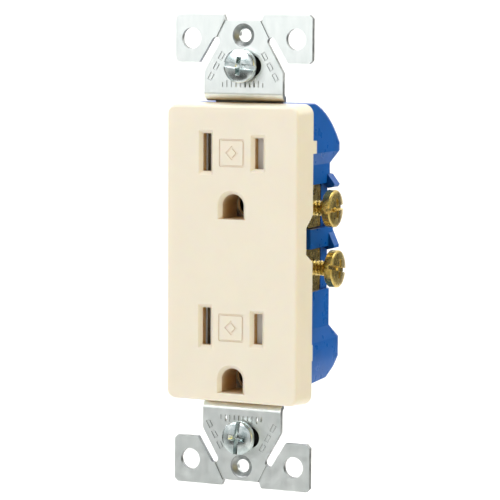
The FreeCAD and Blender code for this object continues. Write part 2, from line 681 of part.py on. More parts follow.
def domed_head(radius, thickness, crown):
    """Head with its top at z = 0 and its flat underside at z = -thickness."""
    side = thickness - crown
    sphere_r = (radius ** 2 + crown ** 2) / (2 * crown)
    dome = Part.makeSphere(sphere_r, V(0, 0, -sphere_r))
    blank = rod(radius, (0, 0, -thickness), Z_AXIS, thickness)
    head = blank.common(dome)
    rim = edges_where(head, lambda p: near(p.z, -crown, 0.05))
    return head.makeFillet(min(0.3, side * 0.4), rim)


def combination_screw(head_r, head_t, shank_length):
    """Screw along -Z with the top of its head at z = 0."""
    head = domed_head(head_r, head_t, 0.55)
    tip = 0.6
    shank = rod(SHANK_R, (0, 0, -head_t - shank_length + tip), Z_AXIS, shank_length - tip + 0.1)
    point = Part.makeCone(SHANK_R - tip, SHANK_R, tip, V(0, 0, -head_t - shank_length), Z_AXIS)
    screw = join(head, shank, point)
    return screw.cut(drive_recess(head_r, 1.35))


def hex_ground_screw():
    """Ground screw along -Z: hexagon head with a slot, top at z = 0."""
    head_r = 4.3
    head_t = 2.2
    corners = [(head_r * math.cos(math.radians(60 * k)), head_r * math.sin(math.radians(60 * k)))
               for k in range(6)]
    hexagon = prism("z", (-head_t, 0), *corners)
    crown = Part.makeCone(head_r + 0.5, head_r - 0.7, 1.2, V(0, 0, -1.2), Z_AXIS)
    skirt = rod(head_r + 1, (0, 0, -head_t), Z_AXIS, head_t - 1.2)
    head = hexagon.common(crown.fuse(skirt))
    shank = rod(SHANK_R, (0, 0, -head_t - 6.5), Z_AXIS, 6.6)
    return join(head, shank).cut(drive_recess(head_r, 1.3))


def aim(shape, place, out):
    """Turn a screw modelled along Z so that its head points along `out` from `place`."""
    turned = shape.copy()
    turned.Placement = FreeCAD.Placement(V(*place), FreeCAD.Rotation(Z_AXIS, out))
    return turned


def terminal_screw(side, z, gap):
    top = TERMINAL_FACE_X + gap + TERMINAL_HEAD_T
    screw = combination_screw(TERMINAL_HEAD_R, TERMINAL_HEAD_T, TERMINAL_SHANK)
    return aim(screw, (side * top, TERMINAL_Y, z), V(side, 0, 0))


def mounting_screw(z):
    """Screw with a plain neck under its head, where the retainer holds it in the strap."""
    screw = combination_screw(BOX_HEAD_R, BOX_HEAD_T, BOX_SHANK)
    start = (0, 0, -BOX_HEAD_T - BOX_NECK)
    waste = rod(SHANK_R + 1, start, Z_AXIS, BOX_NECK).cut(rod(BOX_NECK_R, start, Z_AXIS, BOX_NECK))
    screw = screw.cut(waste)
    return aim(screw, (0, -BOX_HEAD_GAP - BOX_HEAD_T, z), V(0, -1, 0))


def ground_screw():
    top = TERMINAL_FACE_X + 2.6 + 2.2
    return aim(hex_ground_screw(), (-top, GROUND_SCREW_Y, GROUND_SCREW_Z), V(-1, 0, 0))


def screw_retainer(z):
    """Fibre washer that keeps a mounting screw in its slot until the outlet is installed."""
    washer = slab(rounded_rectangle((0, z), (5.4, 3.9), 1.2, STRAP_T + 0.02), RETAINER_T)
    return washer.cut(rod(SHANK_R + SHANK_CLEARANCE, (0, 0, z), Y_AXIS, 5))


# ---------------------------------------------------------------- tamper-resistant shutters
def hot_shutter(z):
    """Front slider: its ramp closes the hot slot and its window leaves the neutral slot free."""
    y = (SHUTTER_FRONT_Y, SHUTTER_FRONT_Y + SHUTTER_T)
    edge = BLADE_X + SLOT_W / 2 + 0.4
    span = (z - SHUTTER_HALF_H, z + SHUTTER_HALF_H)
    plate = prism("z", span, (-11.0, y[0]), (edge - 2.6, y[0]), (edge, y[1] - 0.3), (edge, y[1]),
                  (-11.0, y[1]))
    window = box((-7.7, -2.5), (y[0] - 1, y[1] + 1), (z - SHUTTER_HALF_H + 0.3, z + SHUTTER_HALF_H - 0.3))
    tab = box((SPRING_X[1], SPRING_X[1] + 1.2), y, (span[1] - 0.1, z + LANE_Z + 0.9))
    return join(plate.cut(window), tab)


def neutral_shutter(z):
    """Rear slider: the front one turned half a turn about Y, one step further back."""
    turned = hot_shutter(0).rotated(V(0, 0, 0), Y_AXIS, 180)
    return turned.translated(V(0, SHUTTER_STEP, z))


def shutter_spring(z, turned):
    """Envelope of one return spring between its slider's tab and the carrier's post."""
    y = SHUTTER_FRONT_Y + SHUTTER_T / 2 + 0.02
    length = SPRING_X[1] - SPRING_X[0]
    start = (SPRING_X[0], y, LANE_Z)
    coil = rod(SPRING_R, start, X_AXIS, length).cut(rod(SPRING_R - 0.25, start, X_AXIS, length))
    if turned:
        coil = coil.rotated(V(0, 0, 0), Y_AXIS, 180).translated(V(0, SHUTTER_STEP, 0))
    return coil.translated(V(0, 0, z))


def shutter_carrier(z):
    """Frame behind the sliders: blade windows, side rails and the two spring posts."""
    plate = box((-12.6, 12.6), CARRIER_Y, (z - 7.9, z + 7.9))
    rails = [box((-12.6, 12.6), (SHUTTER_FRONT_Y + 0.05, CARRIER_Y[0] + 0.1), (z + low, z + low + 0.9))
             for low in (-7.9, 7.0)]
    posts = []
    for sign in (-1, 1):
        x = sorted((sign * SPRING_X[0], sign * (SPRING_X[0] - 1.2)))
        lane = sorted((z + sign * 5.1, z + sign * 7.1))
        posts.append(box(x, (SHUTTER_FRONT_Y + 0.05, CARRIER_Y[0] + 0.1), lane))
    windows = [box((sign * BLADE_X - 1.6, sign * BLADE_X + 1.6), (CARRIER_Y[0] - 0.5, CARRIER_Y[1] + 1),
                   (z - 4.7, z + 4.7)) for sign in (-1, 1)]
    return join(plate, *rails, *posts).cut(windows)


# ---------------------------------------------------------------- assembly
def all_parts():
    hot = contact_strip(HOT_SLOT_H)
    neutral = mirror_x(contact_strip(NEUTRAL_SLOT_H))
    parts = {
        "face_cover": face_cover(),
        "mounting_strap": mounting_strap(),
        "rear_body": rear_body(),
        "hot_contact_strip": hot,
        "neutral_contact_strip": neutral,
        "ground_contact_strip": ground_contact_strip(),
        "ground_strip_rivets": ground_strip_rivets(),
        "ground_screw": ground_screw(),
    }
    for level, z in ROWS.items():
        parts[level + "_shutter_carrier"] = shutter_carrier(z)
        parts[level + "_hot_shutter"] = hot_shutter(z)
        parts[level + "_neutral_shutter"] = neutral_shutter(z)
        parts[level + "_hot_shutter_spring"] = shutter_spring(z, False)
        parts[level + "_neutral_shutter_spring"] = shutter_spring(z, True)
    for level, z in TERMINAL_Z.items():
        gap = TERMINAL_GAP[level]
        parts[level + "_hot_terminal_screw"] = terminal_screw(1, z, gap)
        parts[level + "_neutral_terminal_screw"] = terminal_screw(-1, z, gap)
    for level, z in PUSH_IN_Z.items():
        parts[level + "_hot_wire_clamp"] = wire_clamp(z)
        parts[level + "_neutral_wire_clamp"] = mirror_x(wire_clamp(z))
    for level, z in (("upper", BOX_SCREW_Z), ("lower", -BOX_SCREW_Z)):
        parts[level + "_mounting_screw"] = mounting_screw(z)
        parts[level + "_screw_retainer"] = screw_retainer(z)
    return parts


def main():
    os.makedirs("parts", exist_ok=True)
    for name, shape in all_parts().items():
        shape.exportStep(os.path.join("parts", name + ".step"))


main()
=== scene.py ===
"""Looks for the duplex wall outlet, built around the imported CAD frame.

Metres, +X to the right, +Y back into the wall, +Z up. Lengths on the outlet are written in millimetres
times MM, and lengths in the studio around it in metres.
"""
import json
import math

import bmesh
import bpy
from mathutils import Matrix, Vector


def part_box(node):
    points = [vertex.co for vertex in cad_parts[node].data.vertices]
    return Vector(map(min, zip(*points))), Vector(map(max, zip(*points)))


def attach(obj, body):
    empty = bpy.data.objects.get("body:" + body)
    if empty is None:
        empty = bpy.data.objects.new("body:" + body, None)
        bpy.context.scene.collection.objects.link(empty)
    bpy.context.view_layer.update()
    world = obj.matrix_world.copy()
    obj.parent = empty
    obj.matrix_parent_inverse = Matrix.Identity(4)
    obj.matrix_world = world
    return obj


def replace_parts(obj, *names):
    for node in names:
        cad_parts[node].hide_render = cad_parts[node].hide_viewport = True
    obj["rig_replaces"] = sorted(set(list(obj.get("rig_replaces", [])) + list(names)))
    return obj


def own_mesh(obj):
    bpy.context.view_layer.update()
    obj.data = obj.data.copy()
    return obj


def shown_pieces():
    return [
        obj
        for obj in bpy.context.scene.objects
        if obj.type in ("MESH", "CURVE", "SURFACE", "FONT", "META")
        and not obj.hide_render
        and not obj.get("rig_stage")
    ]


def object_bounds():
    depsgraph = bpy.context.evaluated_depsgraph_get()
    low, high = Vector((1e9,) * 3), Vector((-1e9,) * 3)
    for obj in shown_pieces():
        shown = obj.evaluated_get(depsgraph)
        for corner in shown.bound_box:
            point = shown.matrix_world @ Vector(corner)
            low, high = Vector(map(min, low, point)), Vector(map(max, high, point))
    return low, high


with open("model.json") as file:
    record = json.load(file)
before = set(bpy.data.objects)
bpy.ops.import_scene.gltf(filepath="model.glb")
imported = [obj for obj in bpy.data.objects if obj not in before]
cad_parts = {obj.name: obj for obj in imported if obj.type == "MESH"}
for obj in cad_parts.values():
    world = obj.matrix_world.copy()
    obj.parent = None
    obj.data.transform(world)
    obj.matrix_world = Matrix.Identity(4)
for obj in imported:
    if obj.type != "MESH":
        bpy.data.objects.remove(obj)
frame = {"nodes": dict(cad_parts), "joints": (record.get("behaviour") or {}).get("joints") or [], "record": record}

cad_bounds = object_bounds()

MM = 0.001
SLOT_OF = {part["node"]: part["material_slot"] for part in frame["record"]["subparts"]}
BODY_OF = {node: body for body, nodes in frame["record"]["behaviour"]["bodies"].items() for node in nodes}


# ---------------------------------------------------------------- objects and meshes
def add_object(name, data):
    """Puts a mesh, light or camera into the scene."""
    piece = bpy.data.objects.new(name, data)
    bpy.context.scene.collection.objects.link(piece)
    return piece


def mesh_from(name, bm):
    """Turns a bmesh into an object with its normals facing out."""
    bmesh.ops.recalc_face_normals(bm, faces=bm.faces)
    mesh = bpy.data.meshes.new(name)
    bm.to_mesh(mesh)
    bm.free()
    return add_object(name, mesh)


def apply_modifiers(piece):
    """Replaces a piece's mesh with what its modifiers make of it."""
    graph = bpy.context.evaluated_depsgraph_get()
    finished = bpy.data.meshes.new_from_object(piece.evaluated_get(graph))
    piece.modifiers.clear()
    piece.data = finished


def smooth_shade(piece, angle):
    """Smooth shading that keeps flat faces flat and breaks at edges sharper than the angle in degrees."""
    for face in piece.data.polygons:
        face.use_smooth = True
    piece.data.set_sharp_from_angle(angle=math.radians(angle))
    weighted = piece.modifiers.new("weighted", "WEIGHTED_NORMAL")
    weighted.keep_sharp = True
    apply_modifiers(piece)


def carve(piece, cutter):
    """Subtracts one solid from another and drops the cutter."""
    cut = piece.modifiers.new("cut", "BOOLEAN")
    cut.operation = "DIFFERENCE"
    cut.solver = "EXACT"
    cut.object = cutter
    apply_modifiers(piece)
    bpy.data.objects.remove(cutter)
    return piece


def finish(piece, node):
    """Gives a detailed piece its material, body and slot, and hides the CAD node that it stands for."""
    piece.data.materials.clear()
    piece.data.materials.append(MATERIALS[SLOT_OF[node]])
    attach(piece, BODY_OF[node])
    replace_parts(piece, node)
    return piece


WELD_DISTANCE = 0.001 * MM
FLAT_ANGLE = math.radians(0.5)
CREASE_ANGLE = math.radians(16)
ROOM_FOR_ROUNDING = 2.2


def creases(bm, width):
    """Edges between faces that meet at an angle and are wide enough to take a rounding of this width."""
    chosen = []
    for edge in bm.edges:
        if len(edge.link_faces) != 2 or edge.calc_length() < width:
            continue
        if edge.calc_face_angle(0) < CREASE_ANGLE:
            continue
        narrowest = min(face.calc_area() for face in edge.link_faces) / edge.calc_length()
        if narrowest > ROOM_FOR_ROUNDING * width:
            chosen.append(edge)
    return chosen


def refined(node, width):
    """A copy of a CAD node with its flat faces merged and, unless the width is 0, its creases rounded."""
    bm = bmesh.new()
    bm.from_mesh(frame["nodes"][node].data)
    bmesh.ops.remove_doubles(bm, verts=bm.verts, dist=WELD_DISTANCE)
    bmesh.ops.dissolve_limit(bm, angle_limit=FLAT_ANGLE, verts=bm.verts, edges=bm.edges)
    if width:
        bmesh.ops.bevel(bm, geom=creases(bm, width), offset=width, offset_type="OFFSET", segments=2,
                        profile=0.5, affect="EDGES", clamp_overlap=True)
    piece = mesh_from(node + "_finish", bm)
    smooth_shade(piece, angle=32)
    return finish(piece, node)


# ---------------------------------------------------------------- materials
NOISE_RANGE = (0.3, 0.7)
TONE_RANGE = (0.32, 0.68)
# Painted shade in slots and recesses: the occlusion range that maps to it, how far its rays reach and how many
# rays it casts.
CAVITY_SHADE_RANGE = (0.2, 0.78)
CAVITY_SHADE_REACH = 6 * MM
CAVITY_SHADE_RAYS = 8
LIGHT_SPREAD = 2 * MM
SPREAD_BY_COLOUR = (1.0, 0.62, 0.25)


class Surface:
    """A node material grown step by step around a Principled shader, in object millimetres."""

    def __init__(self, name, colour, roughness, metallic=0.0):
        self.material = bpy.data.materials.new(name)
        self.material.use_nodes = True
        self.tree = self.material.node_tree
        self.shader = self.tree.nodes["Principled BSDF"]
        self.shader.inputs["Base Color"].default_value = (*colour, 1)
        self.shader.inputs["Roughness"].default_value = roughness
        self.shader.inputs["Metallic"].default_value = metallic
        self.material.diffuse_color = (*colour, 1)
        self.place = self.tree.nodes.new("ShaderNodeTexCoord").outputs["Object"]
        self.normal = None

    def set(self, **values):
        """Sets shader inputs by name, with an underscore for each space in a name."""
        for key, value in values.items():
            self.shader.inputs[key.replace("_", " ")].default_value = value

    def noise(self, per_mm, detail, stretch=(1, 1, 1), distortion=0.0):
        """Noise with `per_mm` features in a millimetre, drawn out along the axes with a small stretch."""
        mapping = self.tree.nodes.new("ShaderNodeMapping")
        mapping.inputs["Scale"].default_value = [value / MM for value in stretch]
        self.tree.links.new(self.place, mapping.inputs["Vector"])
        noise = self.tree.nodes.new("ShaderNodeTexNoise")
        noise.inputs["Scale"].default_value = per_mm
        noise.inputs["Detail"].default_value = detail
        noise.inputs["Distortion"].default_value = distortion
        self.tree.links.new(mapping.outputs["Vector"], noise.inputs["Vector"])
        return noise.outputs["Fac"]

    def rescale(self, factor, low, high):
        """Maps the range that noise mostly covers to low to high."""
        node = self.tree.nodes.new("ShaderNodeMapRange")
        node.inputs["From Min"].default_value = NOISE_RANGE[0]
        node.inputs["From Max"].default_value = NOISE_RANGE[1]
        node.inputs["To Min"].default_value = low
        node.inputs["To Max"].default_value = high
        self.tree.links.new(factor, node.inputs["Value"])
        return node.outputs["Result"]

    def tint(self, factor, dark, light):
        """Base colour that wanders between two tones."""
        ramp = self.tree.nodes.new("ShaderNodeValToRGB")
        for end, place, tone in zip(ramp.color_ramp.elements, TONE_RANGE, (dark, light)):
            end.position = place
            end.color = (*tone, 1)
        self.tree.links.new(factor, ramp.inputs["Fac"])
        self.tree.links.new(ramp.outputs["Color"], self.shader.inputs["Base Color"])

    def paint_cavity_shade(self, shade):
        """Paints shade into the colour in slots and recesses. Where ambient occlusion finds the plastic hemmed in,
        the colour turns to a darker tone that stands in for the shade there and for light that has bounced off the
        plastic many times.
        """
        # Painted shade: ambient occlusion darkens the base colour towards `shade` in slots and recesses.
        cavity_shade = self.tree.nodes.new("ShaderNodeAmbientOcclusion")
        cavity_shade.samples = CAVITY_SHADE_RAYS
        cavity_shade.inputs["Distance"].default_value = CAVITY_SHADE_REACH
        openness = self.tree.nodes.new("ShaderNodeMapRange")
        openness.inputs["From Min"].default_value = CAVITY_SHADE_RANGE[0]
        openness.inputs["From Max"].default_value = CAVITY_SHADE_RANGE[1]
        self.tree.links.new(cavity_shade.outputs["AO"], openness.inputs["Value"])
        mix = self.tree.nodes.new("ShaderNodeMixRGB")
        tone = self.shader.inputs["Base Color"].links[0].from_socket
        self.tree.links.new(openness.outputs["Result"], mix.inputs["Fac"])
        mix.inputs["Color1"].default_value = (*shade, 1)
        self.tree.links.new(tone, mix.inputs["Color2"])
        self.tree.links.new(mix.outputs["Color"], self.shader.inputs["Base Color"])

    def sheen_map(self, factor, low, high):
        """Roughness that wanders between two values."""
        self.tree.links.new(self.rescale(factor, low, high), self.shader.inputs["Roughness"])

    def bump(self, factor, depth):
        """Adds fine relief of the given depth on top of any relief added before."""
        bump = self.tree.nodes.new("ShaderNodeBump")
        bump.inputs["Distance"].default_value = depth
        bump.inputs["Strength"].default_value = 1.0
        self.tree.links.new(factor, bump.inputs["Height"])
        if self.normal:
            self.tree.links.new(self.normal, bump.inputs["Normal"])
        self.normal = bump.outputs["Normal"]
        self.tree.links.new(self.normal, self.shader.inputs["Normal"])


def moulded(name, colour, roughness, grain=0.0015 * MM, lift=0.05, translucent=0.0, ior=1.45, cavity_shade=None):
    """Moulded plastic with flow marks, uneven gloss, slight sink marks and a fine grain.

    `lift` is how far the flow marks darken and lighten its colour, `cavity_shade` the colour of the painted shade
    in its slots and recesses.
    """
    dark = [c * (1 - lift) for c in colour]
    light = [min(1.0, c * (1 + lift)) for c in colour]
    surface = Surface(name, colour, roughness)
    surface.set(IOR=ior)
    flow_marks = surface.noise(0.09, 4, distortion=0.6)
    surface.tint(flow_marks, dark, light)
    # Painted shade in slots and recesses, when a shade colour is given.
    if cavity_shade:
        surface.paint_cavity_shade(cavity_shade)
    gloss_patches = surface.noise(0.35, 3)
    surface.sheen_map(gloss_patches, roughness - 0.05, roughness + 0.07)
    sink_marks = surface.noise(0.12, 2)
    surface.bump(sink_marks, grain * 8)
    eroded_grain = surface.noise(2.5, 2)
    surface.bump(eroded_grain, grain)
    if translucent:
        surface.set(Subsurface_Weight=translucent, Subsurface_Scale=LIGHT_SPREAD,
                    Subsurface_Radius=SPREAD_BY_COLOUR)
    return surface.material


def rolled_metal(name, dark, light, roughness, stretch, grain=0.002 * MM):
    """Metal sheet or wire: streaks and rolling lines along its length, with patches of gloss."""
    surface = Surface(name, light, roughness, metallic=1.0)
    streaks = surface.noise(0.3, 5, stretch=stretch, distortion=0.3)
    surface.tint(streaks, dark, light)
    gloss_patches = surface.noise(0.5, 4)
    surface.sheen_map(gloss_patches, roughness - 0.03, roughness + 0.06)
    unevenness = surface.noise(0.15, 2)
    surface.bump(unevenness, grain * 12)
    rolling_lines = surface.noise(1.0, 3, stretch=stretch)
    surface.bump(rolling_lines, grain)
    return surface.material


ALONG_Z = (3, 3, 0.25)
ALONG_X = (0.25, 3, 3)
SLIGHTLY_ALONG_Z = (1.5, 1.5, 0.5)
EVERY_WAY = (1.6, 1.6, 1.6)

MATERIALS = {
    # The last colour given to the cover and to the body is painted shade: warm brown in the cover's slots and
    # holes, dark navy in the body's recesses.
    "cover_plastic": moulded("almond_plastic", (0.87, 0.81, 0.69), 0.34, translucent=0.30, lift=0.012,
                             ior=1.4, cavity_shade=(0.50, 0.26, 0.04)),
    "body_plastic": moulded("blue_plastic", (0.004, 0.11, 0.48), 0.30, grain=0.0006 * MM, lift=0.10,
                            ior=1.25, cavity_shade=(0.0, 0.012, 0.11)),
    "carrier_plastic": moulded("buff_plastic", (0.55, 0.44, 0.28), 0.42),
    "shutter_plastic": moulded("shutter_plastic", (0.90, 0.93, 0.94), 0.38),
    "retainer_plastic": moulded("black_fibre", (0.012, 0.012, 0.013), 0.55, grain=0.012 * MM, ior=1.3),
    "zinc_plate": rolled_metal("zinc_plate", (0.79, 0.845, 0.83), (0.87, 0.915, 0.90), 0.35,
                               SLIGHTLY_ALONG_Z, grain=0.0003 * MM),
    "zinc_screw": rolled_metal("zinc_screw", (0.36, 0.44, 0.44), (0.84, 0.90, 0.89), 0.17, EVERY_WAY,
                               grain=0.0008 * MM),
    "brass": rolled_metal("brass", (0.46, 0.32, 0.08), (0.86, 0.67, 0.23), 0.25, EVERY_WAY,
                          grain=0.0008 * MM),
    "nickel_plated_brass": rolled_metal("nickel_plate", (0.46, 0.44, 0.40), (0.76, 0.74, 0.69), 0.22,
                                        EVERY_WAY, grain=0.0008 * MM),
    "bronze": rolled_metal("bronze_strip", (0.38, 0.22, 0.10), (0.66, 0.43, 0.24), 0.30, ALONG_Z),
    "green_screw": rolled_metal("green_dyed_zinc", (0.01, 0.12, 0.04), (0.03, 0.30, 0.10), 0.26, EVERY_WAY),
    "spring_steel": rolled_metal("spring_steel", (0.42, 0.43, 0.44), (0.64, 0.64, 0.65), 0.22, ALONG_X),
}
SHEARED_STEEL = rolled_metal("sheared_steel", (0.24, 0.26, 0.26), (0.48, 0.50, 0.50), 0.42, EVERY_WAY)


# ---------------------------------------------------------------- screws
THREADS_PER_INCH = 32
THREAD_PITCH = 25.4 / THREADS_PER_INCH * MM
THREAD_MAJOR = 1.75 * MM
THREAD_MINOR = 1.32 * MM
THREAD_SIDES = 40
THREAD_ROWS_PER_TURN = 10
TIP_RADIUS_SHARE = 0.78
TIP_LENGTH = 0.9 * THREAD_PITCH
THREAD_START = 0.3 * MM
CARVED_EDGE = 0.07 * MM
DRIVER_SLOT_DEPTH = 1.1 * MM
CROSS_DEPTH = 1.45 * MM
CUTTER_RISE = 0.5 * MM
CUTTER_OVERHANG = 1 * MM


def close_rings(bm, rings):
    """Skins a list of equal rings of vertices and caps both ends."""
    count = len(rings[0])
    for near, far in zip(rings, rings[1:]):
        for k in range(count):
            bm.faces.new((near[k], near[(k + 1) % count], far[(k + 1) % count], far[k]))
    bm.faces.new(rings[0])
    bm.faces.new(reversed(rings[-1]))


def add_turned(bm, profile, sides=64):
    """Adds a solid of revolution about Z from (radius, height) pairs."""
    rings = []
    for radius, height in profile:
        ring = []
        for k in range(sides):
            turn = math.tau * k / sides
            ring.append(bm.verts.new((radius * math.cos(turn), radius * math.sin(turn), height)))
        rings.append(ring)
    close_rings(bm, rings)


def thread_ridge(phase):
    """Height of a V thread, from 0 at its flat root to 1 at its flat crest, at a phase from 0 to 1."""
    slope = 1.35
    root = 0.15
    return min(1.0, max(0.0, slope * (1 - abs(2 * phase - 1)) - root))


def add_thread(bm, top, length):
    """Adds a single-start right-hand thread that runs down from `top` and tapers at its tip."""
    rows = math.ceil(length / THREAD_PITCH * THREAD_ROWS_PER_TURN)
    rings = []
    for row in range(rows + 1):
        down = length * row / rows
        full = min(1.0, (length - down) / TIP_LENGTH)
        ring = []
        for k in range(THREAD_SIDES):
            phase = (down / THREAD_PITCH + k / THREAD_SIDES) % 1.0
            crest = THREAD_MINOR + (THREAD_MAJOR - THREAD_MINOR) * thread_ridge(phase)
            radius = crest * (TIP_RADIUS_SHARE + (1 - TIP_RADIUS_SHARE) * full)
            turn = math.tau * k / THREAD_SIDES
            ring.append(bm.verts.new((radius * math.cos(turn), radius * math.sin(turn), top - down)))
        rings.append(ring)
    close_rings(bm, rings)


def wedge(name, top_half, bottom_half, depth):
    """Cutter that narrows downwards from just above z = 0, with half sizes along X and Y."""
    bm = bmesh.new()
    rings = []
    for (half_x, half_y), z in ((top_half, CUTTER_RISE), (top_half, 0), (bottom_half, -depth)):
        corners = ((-half_x, -half_y), (half_x, -half_y), (half_x, half_y), (-half_x, half_y))
        rings.append([bm.verts.new((x, y, z)) for x, y in corners])
    close_rings(bm, rings)
    return mesh_from(name, bm)


def domed_profile(radius, thickness):
    """Head from its flat underside at -thickness over its rounded corner to its low dome at z = 0."""
    crown = 0.4 * MM
    corner = 0.28 * MM
    corner_turn = math.radians(72)
    corner_steps = 5
    dome_steps = 7
    cap_radius = 0.02 * MM
    bottom = -thickness
    profile = [(radius * 0.4, bottom), (radius - corner / 2, bottom), (radius, bottom + corner / 2)]
    shoulder = -crown - corner
    for step in range(corner_steps + 1):
        angle = corner_turn * step / corner_steps
        profile.append((radius - corner * (1 - math.cos(angle)), shoulder + corner * math.sin(angle)))
    last_r, last_z = profile[-1]
    for step in range(1, dome_steps + 1):
        share = step / dome_steps
        profile.append((last_r * (1 - share) + cap_radius, last_z * (1 - share) ** 2))
    return profile


def carve_driver_slot(head, radius, half_width):
    """Cuts a slot right across the head, a little narrower at its floor."""
    half_length = radius + CUTTER_OVERHANG
    floor = (half_length, half_width * 0.9)
    return carve(head, wedge("slot_cutter", (half_length, half_width), floor, DRIVER_SLOT_DEPTH))


def combination_head(name, radius, thickness):
    """Round head with a driver slot right across and a cross recess in the middle."""
    bm = bmesh.new()
    add_turned(bm, domed_profile(radius, thickness))
    head = mesh_from(name, bm)
    carve_driver_slot(head, radius, 0.52 * MM)
    arm_length = radius * 0.56
    arm_half_width = 0.55 * MM
    narrowing = 0.45
    for arm in ((arm_length, arm_half_width), (arm_half_width, arm_length)):
        foot = tuple(size * narrowing for size in arm)
        carve(head, wedge("cross_cutter", arm, foot, CROSS_DEPTH))
    return head


def hexagon_head(name, radius, thickness):
    """Hexagon head with a chamfered crown and a driver slot."""
    bm = bmesh.new()
    profile = ((radius * 0.94, -thickness), (radius, -thickness + 0.15 * MM), (radius, -0.45 * MM),
               (radius * 0.90, -0.12 * MM), (radius * 0.82, 0.0))
    add_turned(bm, profile, sides=6)
    return carve_driver_slot(mesh_from(name, bm), radius, 0.5 * MM)


def round_carved_edges(piece):
    """Takes the sharpness off the edges that carving left."""
    bevel = piece.modifiers.new("bevel", "BEVEL")
    bevel.width = CARVED_EDGE
    bevel.segments = 2
    bevel.limit_method = "ANGLE"
    bevel.angle_limit = math.radians(40)
    apply_modifiers(piece)


def screw(node, out, turn, thickness, make_head=combination_head):
    """A threaded screw in place of a CAD screw: `out` is where its head points, `turn` its slot's angle."""
    low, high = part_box(node)
    axis = Vector(out)
    size = high - low
    span = abs(size.dot(axis))
    radius = max(abs(size[k]) for k in range(3) if not axis[k]) / 2
    head = make_head(node + "_finish", radius, thickness)
    round_carved_edges(head)
    bm = bmesh.new()
    bm.from_mesh(head.data)
    add_thread(bm, THREAD_START - thickness, span - thickness + THREAD_START)
    bm.to_mesh(head.data)
    bm.free()
    smooth_shade(head, angle=40)
    top = (low + high) / 2 + axis * span / 2
    aim = axis.to_track_quat("Z", "Y").to_matrix().to_4x4()
    head.data.transform(Matrix.Translation(top) @ aim @ Matrix.Rotation(math.radians(turn), 4, "Z"))
    finish(head, node)


RIGHT = (1, 0, 0)
LEFT = (-1, 0, 0)
FRONT = (0, -1, 0)
TERMINAL_HEAD = 2.3 * MM
GROUND_HEAD = 2.2 * MM
MOUNTING_HEAD = 2.0 * MM


def make_screws():
    """All seven screws, each with its slot turned its own way, as hands leave them."""
    screw("upper_hot_terminal_screw", RIGHT, 4, TERMINAL_HEAD)
    screw("lower_hot_terminal_screw", RIGHT, -10, TERMINAL_HEAD)
    screw("upper_neutral_terminal_screw", LEFT, 20, TERMINAL_HEAD)
    screw("lower_neutral_terminal_screw", LEFT, 115, TERMINAL_HEAD)
    screw("ground_screw", LEFT, 30, GROUND_HEAD, hexagon_head)
    screw("upper_mounting_screw", FRONT, -6, MOUNTING_HEAD)
    screw("lower_mounting_screw", FRONT, 84, MOUNTING_HEAD)


# ---------------------------------------------------------------- shutter springs
SPRING_TURNS = 9
SPRING_WIRE = 0.13 * MM
STEPS_PER_TURN = 18
WIRE_SIDES = 8


def add_coil(bm, low, high):
    """Adds a helix of round wire along X that fills the box between two corners."""
    centre = (low + high) / 2
    length = high.x - low.x - 2 * SPRING_WIRE
    radius = (high.z - low.z) / 2 - SPRING_WIRE
    steps = SPRING_TURNS * STEPS_PER_TURN
    rings = []
    for step in range(steps + 1):
        share = step / steps
        turn = math.tau * SPRING_TURNS * share
        out = Vector((0, math.cos(turn), math.sin(turn)))
        spine = Vector((low.x + SPRING_WIRE + length * share, centre.y, centre.z)) + out * radius
        ring = []
        for k in range(WIRE_SIDES):
            angle = math.tau * k / WIRE_SIDES
            aside = Vector((SPRING_WIRE * math.sin(angle), 0, 0))
            ring.append(bm.verts.new(spine + out * SPRING_WIRE * math.cos(angle) + aside))
        rings.append(ring)
    close_rings(bm, rings)


def coil_spring(node):
    """A compression spring in its lane, on a mesh of its own. The real one shortens towards its fixed end as the
    shutter slides; nothing here moves it.
    """
    low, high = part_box(node)
    bm = bmesh.new()
    add_coil(bm, low, high)
    piece = mesh_from(node + "_finish", bm)
    smooth_shade(piece, angle=60)
    finish(piece, node)
    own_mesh(piece)


def make_springs():
    """The springs are the nodes that the joints name as deforming."""
    for joint in frame["joints"]:
        for spring in joint.get("deforming_nodes", []):
            coil_spring(spring["node"])


# ---------------------------------------------------------------- CAD nodes with finished edges
EDGE_WIDTH = {
    "face_cover": 0.12 * MM,
    "rear_body": 0.18 * MM,
}
STRAP_BENDS_END_Z = 38 * MM
STRAP_FRONT_END_Y = 1.3 * MM
# The least Y share of a plated face's normal, past the bends and in them.
FLAT_NORMAL = 0.9
BEND_NORMAL = 0.35


def darken_sheared_edges(strap):
    """The strap's punched and sheared walls and its dimples are bare steel, darker than its plated faces.

    The sloping faces of its bends are plated, and so is what lies behind the plane of its ends.
    """
    strap.data.materials.append(SHEARED_STEEL)
    for face in strap.data.polygons:
        past_bends = abs(face.center.z) > STRAP_BENDS_END_Z
        plated = abs(face.normal.y) > (FLAT_NORMAL if past_bends else BEND_NORMAL)
        behind = face.center.y > STRAP_FRONT_END_Y
        if not plated and not behind:
            face.material_index = 1


def make_other_nodes():
    """Refined copies of the nodes that no screw or spring has replaced."""
    done = {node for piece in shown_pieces() for node in piece.get("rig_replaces", [])}
    for node in frame["nodes"]:
        if node not in done:
            piece = refined(node, EDGE_WIDTH.get(node, 0.0))
            if node == "mounting_strap":
                darken_sheared_edges(piece)


# ---------------------------------------------------------------- studio
FLOOR_DROP = 0.3
FLOOR_REACH = 4.0
BACKDROP_Y = 0.9
BACKDROP_TOP = 1.6
SWEEP_RADIUS = 0.25
SWEEP_STEPS = 12


